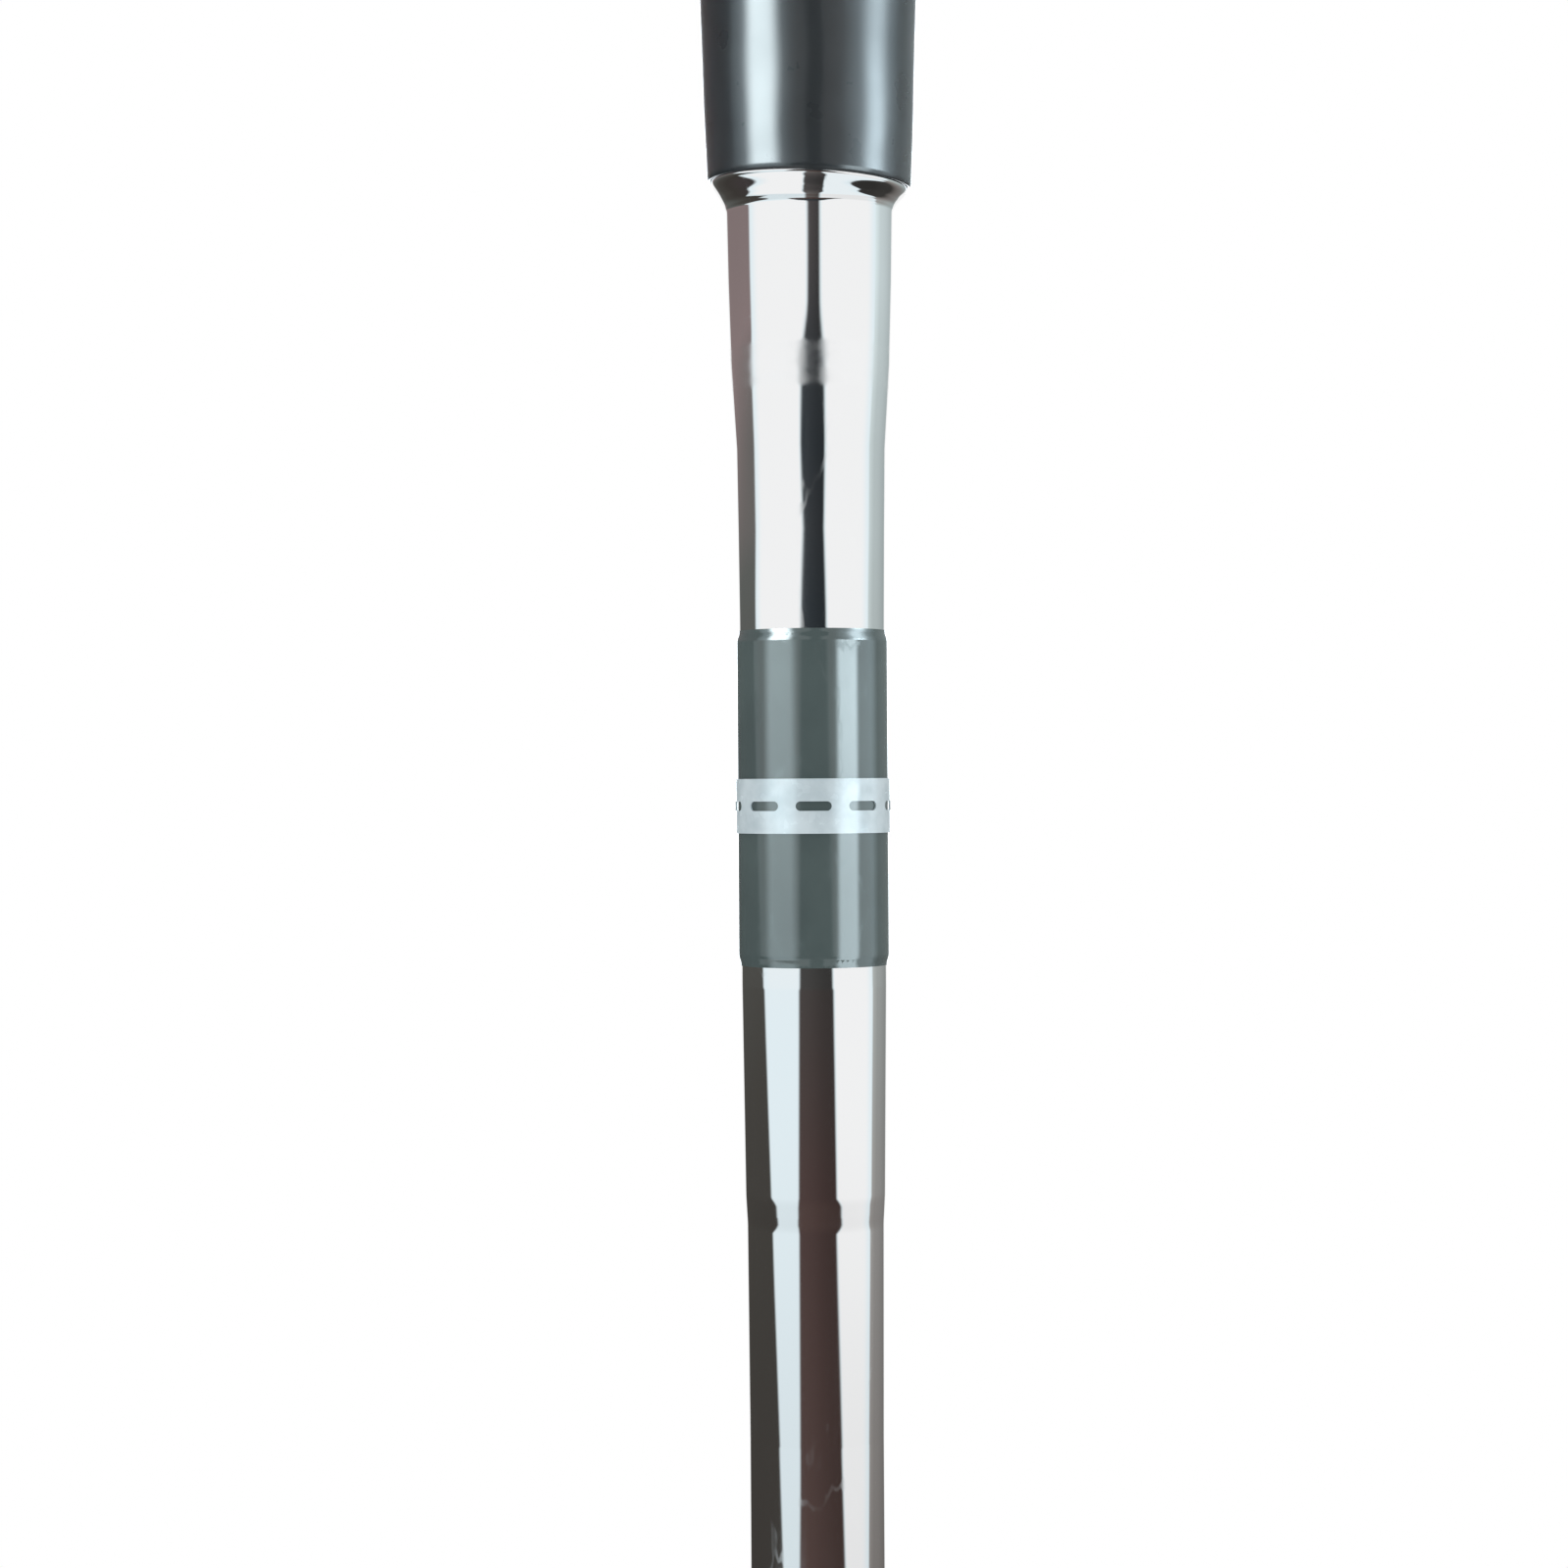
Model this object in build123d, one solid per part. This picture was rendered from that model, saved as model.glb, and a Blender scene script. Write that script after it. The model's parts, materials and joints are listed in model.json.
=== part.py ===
from build123d import *
import os

# Telescopic long cane for a blind or partially sighted user, in millimetres.
# The cane stands on the lowest point of its rolling tip, which is the origin, and its axis is +Z.
# It is drawn at full length: handle tube, then sections 2, 3 and 4, each sliding up into the one above.

# Overall lengths
TOTAL_LENGTH = 1250.0
CAP_HEIGHT = 14.0
GRIP_MOUTH_Z = 986.4
TUBE_TOP_Z = TOTAL_LENGTH - CAP_HEIGHT
LOCK_ENDS_Z = [801.0, 546.0, 291.0]  # lower ends of the handle tube and of sections 2 and 3
SECTION_4_END_Z = 50.0
ENGAGEMENT = 36.0  # length of each section left inside the tube above it

# Tubes, from the handle to the lowest section
WALL = 0.5
HANDLE_R = 9.4
HANDLE_END_R = 6.5
SECTION_R = [5.6, 4.7, 3.8]
SECTION_WALL = [0.5, 0.5, 0.6]
FILM = 0.08
RUNNING = 0.06  # radial clearance of a running fit
THROUGH = 40.0  # length of a cutter that goes right across the handle

# Steps of the handle tube as (radius, height), from the grip mouth down
SHOULDER_END = (8.02, 983.7)
FLARE_START = 0.015  # shape of the shoulder's flare, as parts of its spread and rise
FLARE_HOLD = 0.26
FLARE_TURN = 0.42
FLARE_RIM = 0.46
STEP_1_START = (7.75, 971.9)
STEP_1_END = (7.16, 962.4)
BAND_START = (7.0, 945.5)
BAND_END = (7.0, 909.6)
STEP_2_START = (6.77, 889.6)
STEP_2_END = (6.62, 886.4)
TAPER_END = (HANDLE_END_R, 866.0)

# Grip: (radius, height) stations of its moulded outline
GRIP_STATIONS = [(9.88, 986.75), (10.5, 1004.0), (11.4, 1035.0), (12.2, 1085.0), (12.9, 1160.0)]
GRIP_TOP_R = 13.4
GRIP_LIP = 0.2
FLAT_DEPTH_Y = -11.3  # thumb flat along the grip's front
FLAT_LOW_Z = 1050.0
FLAT_HIGH_Z = 1205.0
FLAT_CUT_DEPTH = 10.0
FLAT_END_FILLET = 4.0
TAPE_THICKNESS = 0.15
TAPE_MARGIN = 4.0

# Cap and its wrist-loop eyelet
STEM_LENGTH = 26.0
CAP_FILLET = 5.0
CAP_PIN_R = 1.5
CAP_PIN_Z = TUBE_TOP_Z - 14.0
CAP_PIN_INSET = 0.15
EYELET_Z = TUBE_TOP_Z + 6.5
EYELET_BORE_R = 2.0
EYELET_R = 2.5
EYELET_FLANGE_R = 3.6
EYELET_FLANGE = 0.6
EYELET_SEAT_Y = 12.4
EYELET_SEAT_CUT = 10.0
BUMPER_LOW_Z = 1066.0
BUMPER_HEIGHT = 18.0

# Marker sleeve and ring
SLEEVE_LOW_Z = 911.5
SLEEVE_HIGH_Z = 943.6
SLEEVE_R = 7.285
SLEEVE_SOFT_EDGE = 1.1
SLEEVE_EDGE_WALL = 0.08
RING_LOW_Z = 924.2
RING_HIGH_Z = 929.4
RING_R = 7.45
RING_SLOTS = 9
SLOT_LENGTH = 3.4
SLOT_HEIGHT = 0.9

# Twist lock, measured from the outer tube's lower end
COLLAR_WALL = 1.6
COLLAR_HIGH = 20.0
COLLAR_LIP = 1.5
COLLAR_LOW = 5.0
WIPER_HEIGHT = 2.0
COLLET_LOW = 13.0
COLLET_SLITS = 6
SLIT_WIDTH = 1.0
SLIT_ROOT = 1.0
CONE_FLARE = 0.8
CONE_NOSE = 0.2
NUT_LOW = 15.0
NUT_HIGH = 14.0
NUT_WALL = 1.8
NUT_CHAMFER = (0.6, 0.8)  # inwards and down at the upper rim
NUT_TAPER = (1.2, 2.5)  # inwards and up at the lower rim
NUT_FLUTES = 18
FLUTE_LENGTH = 20.0
FLUTE_R = 0.8
NUT_CLEARANCE = 0.08
CONE_CLEARANCE = 0.3

# Section fittings
BUSH_FLANGE = 4.0
BUSH_STEM = 8.0
BUSH_STEM_WALL = 1.0
STOP_RING_HEIGHT = 5.0
STOP_GAP = 0.05

# Rolling tip
ROLLER_R = 12.0
ROLLER_HEIGHT = 42.0
ROLLER_FOOT_FILLET = 7.0
ROLLER_TOP_FILLET = 3.0
SPINDLE_R = 2.5
SPINDLE_END_Z = 12.0
SPINDLE_SHOULDER_R = 3.4
COLLAR_Z = 43.0
TIP_COLLAR_R = 4.6
TIP_COLLAR_BEVEL = 1.5
TIP_FILM_GAP = 2.0
TIP_PLUG_LENGTH = 25.0
RACE_OUTER_R = 7.0
RACE_HEIGHT = 5.0
RACE_THICKNESS = 1.4
SPACER_WALL = 1.1
BEARING_Z = [15.0, 31.0]
BALL_R = 1.2
BALL_COUNT = 7
BALL_CLEARANCE = 0.06
CAGE_THICKNESS = 1.0
CAGE_HEIGHT = 3.4
CLIP_HEIGHT = 1.0
CLIP_R = 3.8
CLIP_GROOVE_R = 2.0
CLIP_GAP = 2.6
CLIP_CAVITY_R = 5.0
CLIP_CAVITY_Z = 10.0
SEAL_BODY_Z = 38.0
SEAL_LEG = 1.0


def point(station):
    """A (radius, height) station as a point of the half-section."""
    return Vector(station[0], 0, station[1])


def outline(*stations):
    """Straight runs of a half-section through (radius, height) stations."""
    return Polyline(*[point(s) for s in stations])


def soft_step(high, low):
    """An S-shaped run from one radius to another, upright at both ends."""
    middle = (high[1] + low[1]) / 2
    return Bezier(point(high), Vector(high[0], 0, middle), Vector(low[0], 0, middle), point(low))


def flare(wide, narrow):
    """A run that opens from an upright tube to a wider rim in one hollow curve."""
    rise = wide[1] - narrow[1]
    spread = wide[0] - narrow[0]
    lower = Vector(narrow[0] + FLARE_START * spread, 0, narrow[1] + FLARE_HOLD * rise)
    upper = Vector(narrow[0] + FLARE_TURN * spread, 0, wide[1] - FLARE_RIM * rise)
    return Bezier(point(wide), upper, lower, point(narrow))


def turned(*runs):
    """The solid of revolution of a closed half-section."""
    edges = [edge for run in runs for edge in run.edges()]
    return revolve(make_face(edges), Axis.Z)


def ring(inner, outer, low, high):
    """A plain ring, or a disc where inner is 0."""
    return turned(outline((inner, low), (outer, low), (outer, high), (inner, high), (inner, low)))


def around(count, make):
    """Solids placed at even angles round the axis."""
    return [Rot(0, 0, 360 * i / count) * make for i in range(count)]


def save(part, name):
    """Write one node under its own name."""
    part.label = name
    export_step(part, f"parts/{name}.step")


def inward(station):
    """A station of the handle tube's bore, one wall inside its outline."""
    return (station[0] - WALL, station[1])


# Handle

def tube_runs(shift):
    """The handle tube's outline from top to bottom, each station passed through shift."""
    stations = [shift(s) for s in (
        (HANDLE_R, TUBE_TOP_Z), (HANDLE_R, GRIP_MOUTH_Z), SHOULDER_END, STEP_1_START, STEP_1_END,
        BAND_START, BAND_END, STEP_2_START, STEP_2_END, TAPER_END, (HANDLE_END_R, LOCK_ENDS_Z[0]),
    )]
    top, mouth, shoulder, step_1, step_1_end, band, band_end, step_2, step_2_end, taper, end = stations
    return [
        outline(top, mouth),
        flare(mouth, shoulder),
        outline(shoulder, step_1, step_1_end, band, band_end, step_2),
        soft_step(step_2, step_2_end),
        outline(step_2_end, taper, end),
    ]


def cap_pin_hole():
    return Pos(0, 0, CAP_PIN_Z) * Rot(0, 90, 0) * Cylinder(CAP_PIN_R, THROUGH)


def handle_tube():
    outside = tube_runs(tuple)
    inside = tube_runs(inward)
    bottom = LOCK_ENDS_Z[0]
    rims = [
        outline((HANDLE_R - WALL, TUBE_TOP_Z), (HANDLE_R, TUBE_TOP_Z)),
        outline((HANDLE_END_R - WALL, bottom), (HANDLE_END_R, bottom)),
    ]
    return turned(*outside, *inside, *rims) - cap_pin_hole()


def grip_outline():
    """The grip's outer run: rounded lip, then a swelling curve up to the cap."""
    lip_r = GRIP_STATIONS[0][0]
    curve = Spline(*[point(s) for s in GRIP_STATIONS], point((GRIP_TOP_R, TUBE_TOP_Z)))
    lip = Line(point((lip_r - GRIP_LIP, GRIP_MOUTH_Z)), point(GRIP_STATIONS[0]))
    return [lip, curve]


def thumb_flat():
    height = FLAT_HIGH_Z - FLAT_LOW_Z
    middle = (FLAT_HIGH_Z + FLAT_LOW_Z) / 2
    block = Box(THROUGH, FLAT_CUT_DEPTH, height)
    ends = block.edges().filter_by(Axis.X).group_by(Axis.Y)[-1]
    return Pos(0, FLAT_DEPTH_Y - FLAT_CUT_DEPTH / 2, middle) * fillet(ends, FLAT_END_FILLET)


def grip():
    tape_r = HANDLE_R + TAPE_THICKNESS
    low = GRIP_MOUTH_Z + TAPE_MARGIN
    high = TUBE_TOP_Z - TAPE_MARGIN
    bore = outline(
        (GRIP_TOP_R, TUBE_TOP_Z), (HANDLE_R, TUBE_TOP_Z), (HANDLE_R, high), (tape_r, high),
        (tape_r, low), (HANDLE_R, low), (HANDLE_R, GRIP_MOUTH_Z),
        (GRIP_STATIONS[0][0] - GRIP_LIP, GRIP_MOUTH_Z),
    )
    return turned(*grip_outline(), bore) - thumb_flat()


def grip_tape():
    return ring(HANDLE_R, HANDLE_R + TAPE_THICKNESS, GRIP_MOUTH_Z + TAPE_MARGIN, TUBE_TOP_Z - TAPE_MARGIN)


def across(part):
    """A part made along Z, laid along Y at the eyelet's height."""
    return Pos(0, 0, EYELET_Z) * Rot(90, 0, 0) * part


def grip_cap():
    dome = Pos(0, 0, TUBE_TOP_Z + CAP_HEIGHT / 2) * Cylinder(GRIP_TOP_R, CAP_HEIGHT)
    dome = fillet(dome.edges().group_by(Axis.Z)[-1], CAP_FILLET)
    stem = ring(0, HANDLE_R - WALL, TUBE_TOP_Z - STEM_LENGTH, TUBE_TOP_Z)
    cap = dome + stem - cap_pin_hole() - across(Cylinder(EYELET_R, THROUGH))
    for side in (-1, 1):
        seat = Cylinder(EYELET_FLANGE_R, EYELET_SEAT_CUT)
        cap -= across(Pos(0, 0, side * (EYELET_SEAT_Y + EYELET_SEAT_CUT / 2)) * seat)
    return cap


def cap_pin():
    length = 2 * (HANDLE_R - CAP_PIN_INSET)
    pin = Cylinder(CAP_PIN_R, length) - Cylinder(CAP_PIN_R / 2, length)
    return Pos(0, 0, CAP_PIN_Z) * Rot(0, 90, 0) * pin


def loop_eyelet():
    eyelet = Cylinder(EYELET_R, 2 * EYELET_SEAT_Y)
    for side in (-1, 1):
        flange = Cylinder(EYELET_FLANGE_R, EYELET_FLANGE)
        eyelet += Pos(0, 0, side * (EYELET_SEAT_Y + EYELET_FLANGE / 2)) * flange
    return across(eyelet - Cylinder(EYELET_BORE_R, THROUGH))


def collapse_bumper():
    return ring(0, HANDLE_R - WALL, BUMPER_LOW_Z, BUMPER_LOW_Z + BUMPER_HEIGHT)


def marker_sleeve():
    inner = BAND_START[0]
    edge_r = inner + SLEEVE_EDGE_WALL
    low = SLEEVE_LOW_Z
    high = SLEEVE_HIGH_Z
    return turned(
        outline((inner, high), (inner, low), (edge_r, low)),
        soft_step((SLEEVE_R, low + SLEEVE_SOFT_EDGE), (edge_r, low)),
        outline((SLEEVE_R, low + SLEEVE_SOFT_EDGE), (SLEEVE_R, high - SLEEVE_SOFT_EDGE)),
        soft_step((edge_r, high), (SLEEVE_R, high - SLEEVE_SOFT_EDGE)),
        outline((edge_r, high), (inner, high)),
    )


def marker_ring():
    """A raised band with plain rounded windows."""
    window = extrude(Plane.XZ * SlotOverall(SLOT_LENGTH, SLOT_HEIGHT), 2 * SLEEVE_R)
    band = ring(SLEEVE_R, RING_R, RING_LOW_Z, RING_HIGH_Z)
    for cut in around(RING_SLOTS, Pos(0, 0, (RING_LOW_Z + RING_HIGH_Z) / 2) * window):
        band -= cut
    return band


# Twist locks. tube_r is the outer tube's radius, slide_r the inner tube's, and end its lower end.

def lock_sleeve(tube_r, slide_r, end):
    outer = tube_r + COLLAR_WALL
    return turned(outline(
        (outer, end + COLLAR_HIGH), (tube_r, end + COLLAR_HIGH), (tube_r, end),
        (slide_r + FILM + RUNNING, end), (slide_r + FILM + RUNNING, end - COLLAR_LIP),
        (tube_r, end - COLLAR_LIP), (tube_r, end - COLLAR_LOW), (outer, end - COLLAR_LOW),
        (outer, end + COLLAR_HIGH),
    ))


def wiper_ring(tube_r, slide_r, end):
    low = end - COLLAR_LIP - WIPER_HEIGHT
    return ring(slide_r + FILM + RUNNING, tube_r, low, low + WIPER_HEIGHT)


def cone_radii(tube_r):
    """The collet's outer radii at its shoulder and at its nose."""
    return tube_r + CONE_FLARE, tube_r - CONE_NOSE


def lock_collet(tube_r, slide_r, end):
    bore = slide_r + FILM + RUNNING
    wide, narrow = cone_radii(tube_r)
    top = end - COLLAR_LIP - WIPER_HEIGHT
    low = end - COLLET_LOW
    collet = turned(outline(
        (bore, top), (bore, low), (narrow, low), (wide, end - COLLAR_LOW),
        (tube_r, end - COLLAR_LOW), (tube_r, top), (bore, top),
    ))
    slit_height = COLLET_LOW - COLLAR_LOW - SLIT_ROOT
    slit = Pos(tube_r, 0, low + slit_height / 2) * Box(2 * tube_r, SLIT_WIDTH, slit_height)
    for cut in around(COLLET_SLITS, slit):
        collet -= cut
    return collet


def lock_nut(tube_r, slide_r, end):
    """A fluted nut that rides the sleeve and closes over the collet's cone."""
    seat = tube_r + COLLAR_WALL + NUT_CLEARANCE
    outer = tube_r + COLLAR_WALL + NUT_WALL
    mouth = slide_r + FILM + CONE_CLEARANCE
    wide, narrow = [r + CONE_CLEARANCE for r in cone_radii(tube_r)]
    low = end - NUT_LOW
    high = end + NUT_HIGH
    shelf = end - COLLAR_LOW - CONE_CLEARANCE
    nose = end - COLLET_LOW - CONE_CLEARANCE
    nut = turned(outline(
        (seat, high), (outer - NUT_CHAMFER[0], high), (outer, high - NUT_CHAMFER[1]),
        (outer, low + NUT_TAPER[1]), (outer - NUT_TAPER[0], low), (mouth, low),
        (mouth, nose), (narrow, nose), (wide, shelf), (seat, shelf), (seat, high),
    ))
    flute = Pos(outer + FLUTE_R / 2, 0, end + (NUT_HIGH - NUT_LOW) / 2) * Cylinder(FLUTE_R, FLUTE_LENGTH)
    for cut in around(NUT_FLUTES, flute):
        nut -= cut
    return nut


# Sliding sections. bore is the radius of the tube above, and end that tube's lower end.

def section_tube(radius, wall, low, end):
    return ring(radius - wall, radius, low, end + ENGAGEMENT)


def section_bush(radius, wall, bore, end):
    """A plug in the tube's top whose flange is guided by the tube above."""
    top = end + ENGAGEMENT
    vent = radius - wall - BUSH_STEM_WALL
    return turned(outline(
        (vent, top - BUSH_STEM), (radius - wall, top - BUSH_STEM), (radius - wall, top),
        (bore - RUNNING, top), (bore - RUNNING, top + BUSH_FLANGE), (vent, top + BUSH_FLANGE),
        (vent, top - BUSH_STEM),
    ))


def section_stop_ring(radius, bore, end):
    return ring(radius, bore - RUNNING, end + STOP_GAP, end + STOP_GAP + STOP_RING_HEIGHT)


def section_film(radius, low, end):
    return ring(radius, radius + FILM, low, end)


# Rolling tip

def tip_adapter(tube_r, wall):
    plug_r = tube_r - wall
    end = SECTION_4_END_Z
    upper_race = BEARING_Z[1] + RACE_HEIGHT
    clip_low = BEARING_Z[0] - CLIP_HEIGHT
    return turned(outline(
        (0, end + TIP_PLUG_LENGTH), (0, SPINDLE_END_Z), (SPINDLE_R, SPINDLE_END_Z),
        (SPINDLE_R, clip_low), (CLIP_GROOVE_R, clip_low), (CLIP_GROOVE_R, BEARING_Z[0]),
        (SPINDLE_R, BEARING_Z[0]), (SPINDLE_R, upper_race), (SPINDLE_SHOULDER_R, upper_race),
        (SPINDLE_SHOULDER_R, COLLAR_Z), (TIP_COLLAR_R, COLLAR_Z + TIP_COLLAR_BEVEL), (TIP_COLLAR_R, end),
        (plug_r, end), (plug_r, end + TIP_PLUG_LENGTH), (0, end + TIP_PLUG_LENGTH),
    ))


def pitch_radius():
    return (SPINDLE_R + RACE_OUTER_R) / 2


def ball_groove(low):
    """The torus that both races are cut back by, just clear of the balls."""
    return Pos(0, 0, low + RACE_HEIGHT / 2) * Torus(pitch_radius(), BALL_R + BALL_CLEARANCE)


def bearing_inner_races():
    outer = SPINDLE_R + RACE_THICKNESS
    return [ring(SPINDLE_R, outer, low, low + RACE_HEIGHT) - ball_groove(low) for low in BEARING_Z]


def bearing_outer_races():
    inner = RACE_OUTER_R - RACE_THICKNESS
    return [ring(inner, RACE_OUTER_R, low, low + RACE_HEIGHT) - ball_groove(low) for low in BEARING_Z]


def bearing_balls():
    balls = [Pos(pitch_radius(), 0, low + RACE_HEIGHT / 2) * Sphere(BALL_R) for low in BEARING_Z]
    return [placed for ball in balls for placed in around(BALL_COUNT, ball)]


def ball_cages():
    r = pitch_radius()
    cages = []
    for low in BEARING_Z:
        middle = low + RACE_HEIGHT / 2
        half = CAGE_HEIGHT / 2
        cage = ring(r - CAGE_THICKNESS / 2, r + CAGE_THICKNESS / 2, middle - half, middle + half)
        pocket = Rot(0, 90, 0) * Cylinder(BALL_R + BALL_CLEARANCE / 2, 4 * CAGE_THICKNESS)
        for cut in around(BALL_COUNT, Pos(r, 0, middle) * pocket):
            cage -= cut
        cages.append(cage)
    return cages


def spacer_sleeve():
    return ring(SPINDLE_R, SPINDLE_R + SPACER_WALL, BEARING_Z[0] + RACE_HEIGHT, BEARING_Z[1])


def spindle_clip():
    """A retaining ring with a gap, snapped into the spindle's groove."""
    clip = ring(CLIP_GROOVE_R, CLIP_R, BEARING_Z[0] - CLIP_HEIGHT, BEARING_Z[0])
    return clip - Pos(CLIP_R, 0, BEARING_Z[0]) * Box(2 * CLIP_R, CLIP_GAP, 4 * CLIP_HEIGHT)


def tip_seal():
    upper_race = BEARING_Z[1] + RACE_HEIGHT
    inner = SPINDLE_SHOULDER_R + RUNNING
    return turned(outline(
        (inner, ROLLER_HEIGHT), (inner, SEAL_BODY_Z), (RACE_OUTER_R - SEAL_LEG, SEAL_BODY_Z),
        (RACE_OUTER_R - SEAL_LEG, upper_race), (RACE_OUTER_R, upper_race),
        (RACE_OUTER_R, ROLLER_HEIGHT), (inner, ROLLER_HEIGHT),
    ))


def tip_roller():
    body = Pos(0, 0, ROLLER_HEIGHT / 2) * Cylinder(ROLLER_R, ROLLER_HEIGHT)
    body = fillet(body.edges().group_by(Axis.Z)[0], ROLLER_FOOT_FILLET)
    body = fillet(body.edges().group_by(Axis.Z)[-1], ROLLER_TOP_FILLET)
    bearings = ring(0, RACE_OUTER_R, BEARING_Z[0], ROLLER_HEIGHT)
    return body - bearings - ring(0, CLIP_CAVITY_R, CLIP_CAVITY_Z, BEARING_Z[0])


# Write every node

os.makedirs("parts", exist_ok=True)

for make in (handle_tube, grip, grip_tape, grip_cap, cap_pin, loop_eyelet, collapse_bumper,
             marker_sleeve, marker_ring, spacer_sleeve, spindle_clip, tip_seal, tip_roller):
    save(make(), make.__name__)

for make in (bearing_inner_races, bearing_outer_races, bearing_balls, ball_cages):
    save(Compound(children=make()), make.__name__)

save(tip_adapter(SECTION_R[-1], SECTION_WALL[-1]), "tip_adapter")

tube_radii = [HANDLE_END_R] + SECTION_R
bores = [HANDLE_END_R - WALL] + [r - w for r, w in zip(SECTION_R, SECTION_WALL)]
lower_ends = LOCK_ENDS_Z[1:] + [SECTION_4_END_Z]

for i, end in enumerate(LOCK_ENDS_Z):
    tube_r, slide_r, wall, low = tube_radii[i], SECTION_R[i], SECTION_WALL[i], lower_ends[i]
    save(lock_sleeve(tube_r, slide_r, end), f"lock_sleeve_{i + 1}")
    save(wiper_ring(tube_r, slide_r, end), f"wiper_ring_{i + 1}")
    save(lock_collet(tube_r, slide_r, end), f"lock_collet_{i + 1}")
    save(lock_nut(tube_r, slide_r, end), f"lock_nut_{i + 1}")
    save(section_tube(slide_r, wall, low, end), f"section_{i + 2}_tube")
    save(section_bush(slide_r, wall, bores[i], end), f"section_{i + 2}_bush")
    save(section_stop_ring(slide_r, bores[i], end), f"section_{i + 2}_stop_ring")
    last = i == len(LOCK_ENDS_Z) - 1
    film_low = low + (TIP_FILM_GAP if last else COLLAR_HIGH)
    save(section_film(slide_r, film_low, end), f"section_{i + 2}_film")
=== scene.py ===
"""Looks of the telescopic long cane: meshes, finishes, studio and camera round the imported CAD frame."""
import json
import math

import bpy
import numpy as np
from mathutils import Matrix, Vector


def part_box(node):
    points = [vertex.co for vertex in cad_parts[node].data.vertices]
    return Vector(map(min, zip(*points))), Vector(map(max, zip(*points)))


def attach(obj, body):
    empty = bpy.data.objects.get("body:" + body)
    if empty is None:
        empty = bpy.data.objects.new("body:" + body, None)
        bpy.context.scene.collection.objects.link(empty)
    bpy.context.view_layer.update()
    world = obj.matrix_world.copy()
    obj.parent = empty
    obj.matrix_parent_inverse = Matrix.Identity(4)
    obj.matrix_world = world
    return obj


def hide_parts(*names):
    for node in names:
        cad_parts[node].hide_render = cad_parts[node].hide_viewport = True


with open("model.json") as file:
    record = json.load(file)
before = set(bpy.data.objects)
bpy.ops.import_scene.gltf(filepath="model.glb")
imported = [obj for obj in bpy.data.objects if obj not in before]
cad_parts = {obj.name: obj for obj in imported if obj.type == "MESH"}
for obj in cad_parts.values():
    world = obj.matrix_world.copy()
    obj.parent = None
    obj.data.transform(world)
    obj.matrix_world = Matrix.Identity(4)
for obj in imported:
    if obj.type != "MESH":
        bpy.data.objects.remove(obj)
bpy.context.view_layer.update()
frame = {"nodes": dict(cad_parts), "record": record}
nodes = frame["nodes"]

MM = 0.001
TAU = 2 * math.pi

# Camera, as offsets from the marker ring
LENS = 80.0
SENSOR = 36.0
VIEW_WIDTH = 150.9 * MM  # what the frame spans at the cane's axis
VIEW_ABOVE_RING = 2.1 * MM
VIEW_LEFT_OF_AXIS = 2.78 * MM
VIEW_ROLL = math.radians(0.37)

# Studio
WALL_RADIUS = 1.0
WALL_TOP = 2.2
GROUND_REACH = 0.95  # how far in from the wall the lit ground comes
FLOOR_RADIUS = 3.6

# Reading outlines from the CAD meshes
OUTWARD_SHARE = 0.2  # a face looks outward if its normal leans at least this much away from the axis
LEAST_RISE = 1e-7  # an edge that rises less than this is level
NEAR_HEIGHT = 1e-6
LEAST_GAP = 0.03 * MM  # rows nearer to each other than this count as one
STRAIGHT_RUN = 2.5 * MM  # a run longer than this between two rows is straight
CORNER_ROOM = 0.5 * MM  # how near a corner its rounding stays
STRAIGHT_BEND = 0.003  # a smaller change of slope between rows is no bend

# Details that the CAD model leaves out
TUBE_WALL = 0.5 * MM
MOUTH_LEAN = 0.4 * MM  # how much lower the grip's mouth hangs at +X than at its middle
SWAGE_EASE = 3.2 * MM  # height over which the first step's corner turns
NUT_FOOT_GAP = 0.03 * MM  # clear of the collar that stops against it when the cane is collapsed
NUT_SCALLOPS = 18

# Grip, with heights measured up from its mouth
GRIP_BORE = 9.4 * MM
GRIP_RADIUS = 12.2 * MM  # where the crossed grooves are spaced out
LIP = 0.6 * MM
LIP_INSET = 0.25 * MM
RING_GROOVES = (28, 31.5, 35, 228, 231.5)  # in mm
CROSSED_GROOVES = 14
CROSSED_LEAN = 0.75
GROOVE_DEPTH = 0.5 * MM
FLAT_Y = 11.3 * MM
FLAT_LOW = 63 * MM
FLAT_BELOW_TOP = 31 * MM
FLAT_SOFT = 6 * MM
RIB_PITCH = 3 * MM
RIB_DEPTH = 0.12 * MM


# ---------------------------------------------------------------- meshes

def add_mesh(name, points, faces, uvs=None):
    """A smooth-shaded mesh object, with one uv per vertex if given."""
    mesh = bpy.data.meshes.new(name)
    mesh.from_pydata([tuple(p) for p in points], [], faces)
    if uvs is not None:
        layer = mesh.uv_layers.new(name="surface")
        corners = np.zeros(len(mesh.loops), int)
        mesh.loops.foreach_get("vertex_index", corners)
        layer.data.foreach_set("uv", np.asarray(uvs, float)[corners].ravel())
    mesh.shade_smooth()
    obj = bpy.data.objects.new(name, mesh)
    bpy.context.scene.collection.objects.link(obj)
    return obj


def grid_faces(rows, columns, close_rows=False):
    """Quads of a grid that is closed round its columns, and round its rows too if asked."""
    faces = []
    for i in range(rows if close_rows else rows - 1):
        low = i * columns
        high = (i + 1) % rows * columns
        for j in range(columns):
            k = (j + 1) % columns
            faces.append((low + j, low + k, high + k, high + j))
    return faces


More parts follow.
